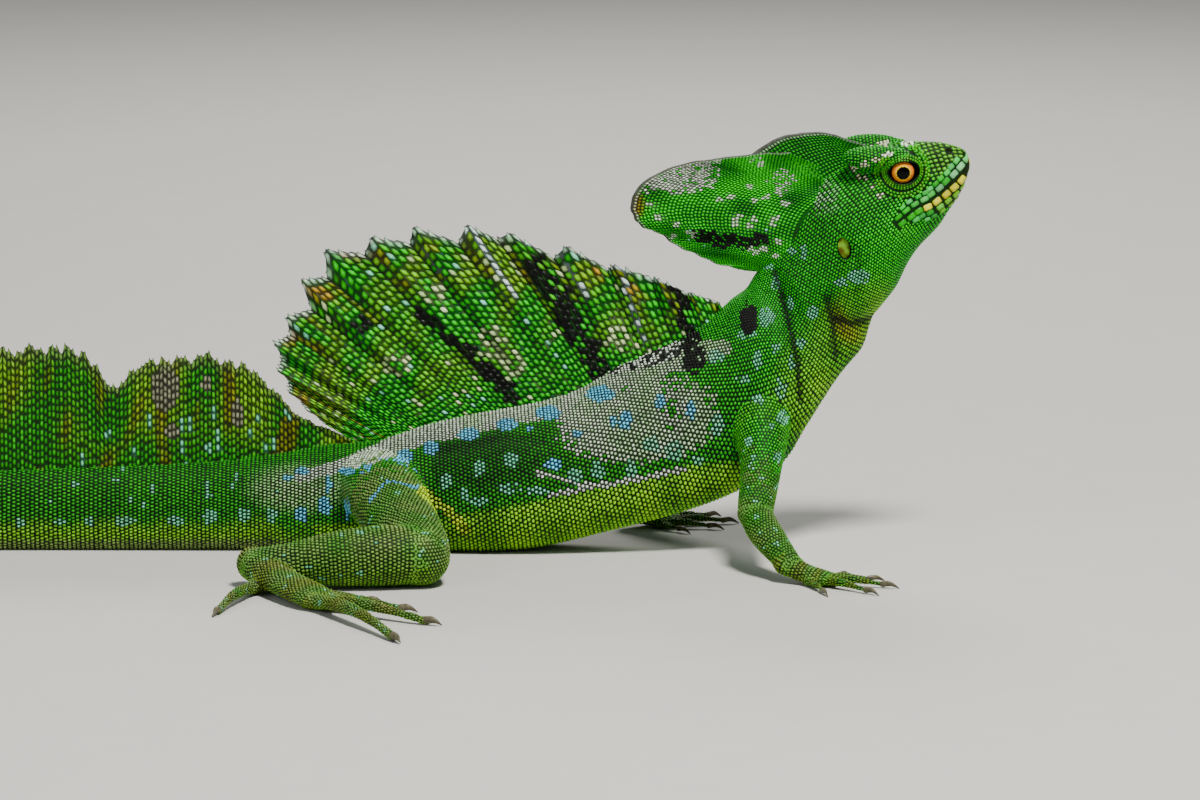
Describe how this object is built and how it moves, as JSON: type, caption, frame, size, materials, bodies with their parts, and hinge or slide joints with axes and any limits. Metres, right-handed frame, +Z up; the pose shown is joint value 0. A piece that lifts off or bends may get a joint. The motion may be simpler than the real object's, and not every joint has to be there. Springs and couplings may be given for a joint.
{
  "type": "lizard model",
  "caption": "Life-size still model of a green basilisk lying with its chest raised, with a sail on its back, crests on its head and tail, and a long tapering tail.",
  "frame": {"origin": "on the flat of the belly that rests on the floor, under the middle of the trunk's rear half", "axes": "+X towards the snout, +Y to the animal's left, +Z up"},
  "size_m": [0.7372, 0.2548, 0.1323],
  "materials": {
    "skin": "satin scaled skin",
    "crest": "satin scaled skin",
    "eye": "wet and glossy",
    "eardrum": "thin smooth skin"
  },
  "bodies": {
    "root": {"head": "skin", "neck": "skin", "torso": "skin", "dorsal_sail": "crest", "head_crest_rear": "crest", "head_crest_front": "crest", "eye_right": "eye", "eye_left": "eye", "ear_right": "eardrum", "ear_left": "eardrum", "tail_1": "skin", "tail_2": "skin", "tail_3": "skin", "tail_4": "skin", "tail_5": "skin", "tail_crest_1": "crest", "tail_crest_2": "crest", "upper_arm_right": "skin", "forearm_right": "skin", "hand_right": "skin", "upper_arm_left": "skin", "forearm_left": "skin", "hand_left": "skin", "thigh_right": "skin", "shank_right": "skin", "foot_right": "skin", "thigh_left": "skin", "shank_left": "skin", "foot_left": "skin"}
  },
  "joints": []
}
